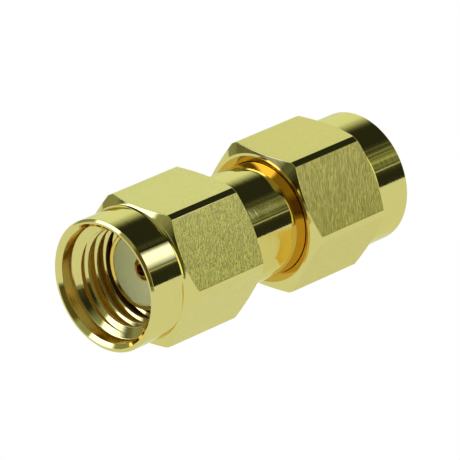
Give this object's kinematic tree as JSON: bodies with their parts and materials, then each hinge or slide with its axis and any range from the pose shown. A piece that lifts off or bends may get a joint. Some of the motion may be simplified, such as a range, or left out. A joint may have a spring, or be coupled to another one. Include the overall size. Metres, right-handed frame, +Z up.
{
  "type": "coax adapter",
  "caption": "Straight coaxial adapter with a free-turning hexagon coupling nut at each end, joining two threaded coaxial jacks through a socket contact.",
  "frame": {"origin": "centre of the adapter, on its axis", "axes": "+X along the adapter's axis, towards the far nut's mouth; +Z up, square to the flats that it lies on"},
  "size_m": [0.021, 0.009, 0.008],
  "materials": {
    "gold_plate": "bright gold plate over turned brass",
    "contact_gold": "bright gold plate",
    "spring_bronze": "drawn spring bronze",
    "insulator_white": "turned white fluoropolymer",
    "gasket_rubber": "moulded silicone"
  },
  "bodies": {
    "body": {"adapter_body": "gold_plate", "near_snap_ring": "spring_bronze", "far_snap_ring": "spring_bronze", "near_gasket": "gasket_rubber", "far_gasket": "gasket_rubber", "near_insulator": "insulator_white", "far_insulator": "insulator_white", "contact": "contact_gold"},
    "near_coupling": {"near_nut": "gold_plate"},
    "far_coupling": {"far_nut": "gold_plate"}
  },
  "joints": [
    {"name": "near_nut_turn", "type": "hinge", "parent": "body", "child": "near_coupling", "pos_m": [-0.005, 0, 0], "axis": [-1, 0, 0], "continuous": true},
    {"name": "far_nut_turn", "type": "hinge", "parent": "body", "child": "far_coupling", "pos_m": [0.005, 0, 0], "axis": [1, 0, 0], "continuous": true}
  ]
}
